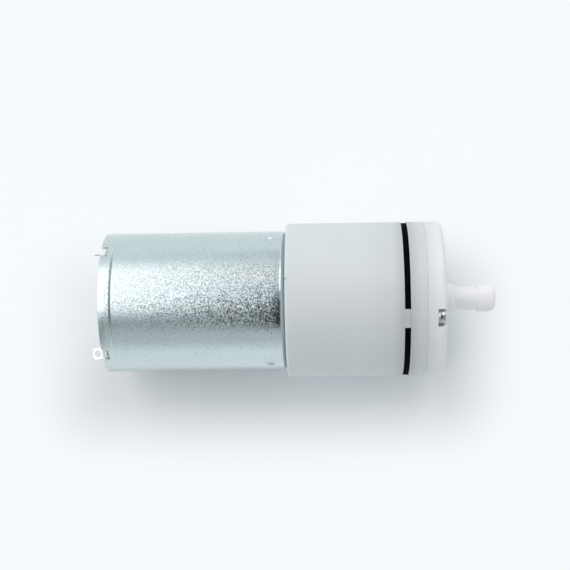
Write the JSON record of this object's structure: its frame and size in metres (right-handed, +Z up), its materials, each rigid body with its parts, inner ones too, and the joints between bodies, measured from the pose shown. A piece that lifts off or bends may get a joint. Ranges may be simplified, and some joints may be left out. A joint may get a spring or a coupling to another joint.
{
  "type": "mini vacuum pump",
  "caption": "Small round diaphragm vacuum pump: a brushed can motor, a white wobble-drive head with a black gasket line, and a central barbed nozzle.",
  "frame": {"origin": "on the shaft's axis, where the motor's front face meets the pump head", "axes": "+X along the shaft towards the nozzle, +Z up from the surface that the pump lies on"},
  "size_m": [0.0697, 0.027, 0.027],
  "materials": {
    "zinc_steel": "bright zinc-plated drawn steel with a fine spangle",
    "white_nylon": "natural white moulded nylon",
    "sintered_bronze": "oiled sintered bronze",
    "tinned_brass": "tinned brass sheet",
    "spring_bronze": "rolled phosphor bronze",
    "carbon": "pressed copper graphite",
    "ferrite": "sintered ferrite",
    "spring_steel": "plain spring steel",
    "ground_steel": "ground steel",
    "lamination_steel": "stacked silicon steel",
    "insulator": "thin moulded insulation",
    "enamelled_copper": "enamelled copper wire",
    "dark_moulding": "dark phenolic moulding",
    "copper": "turned copper",
    "white_acetal": "natural acetal",
    "screw_steel": "nickel-plated steel",
    "head_plastic": "milky translucent moulding",
    "cover_plastic": "clearer milky moulding",
    "black_rubber": "black nitrile rubber"
  },
  "bodies": {
    "pump": {"motor_can": "zinc_steel", "end_bell": "white_nylon", "front_bush": "sintered_bronze", "rear_bush": "sintered_bronze", "terminal_left": "tinned_brass", "terminal_right": "tinned_brass", "brush_leaf_left": "spring_bronze", "brush_leaf_right": "spring_bronze", "carbon_brush_left": "carbon", "carbon_brush_right": "carbon", "magnet_left": "ferrite", "magnet_right": "ferrite", "magnet_clip": "spring_steel", "pump_housing": "head_plastic", "motor_screws": "screw_steel", "diaphragm_seat": "head_plastic", "diaphragm": "black_rubber", "valve_plate": "head_plastic", "valve_sheet": "black_rubber", "nozzle_cover": "cover_plastic", "cover_screws": "screw_steel"},
    "rotor": {"shaft": "ground_steel", "rotor_core": "lamination_steel", "core_insulators": "insulator", "coils": "enamelled_copper", "commutator_hub": "dark_moulding", "commutator_segments": "copper", "front_spacer": "dark_moulding", "rear_spacer": "dark_moulding", "eccentric_wheel": "white_acetal", "swash_pin": "ground_steel"},
    "swing_bracket": {"swing_bracket": "white_acetal"}
  },
  "joints": [
    {"name": "rotor_spin", "type": "hinge", "parent": "pump", "child": "rotor", "pos_m": [0, 0, 0], "axis": [1, 0, 0], "continuous": true},
    {"name": "bracket_wobble", "type": "hinge", "parent": "rotor", "child": "swing_bracket", "pos_m": [0.0172, 0, 0], "axis": [0.9877, 0, 0.1564], "continuous": true, "deforming": ["diaphragm"]}
  ],
  "couplings": [
    {"joint": "bracket_wobble", "follows": "rotor_spin", "ratio": -1}
  ]
}
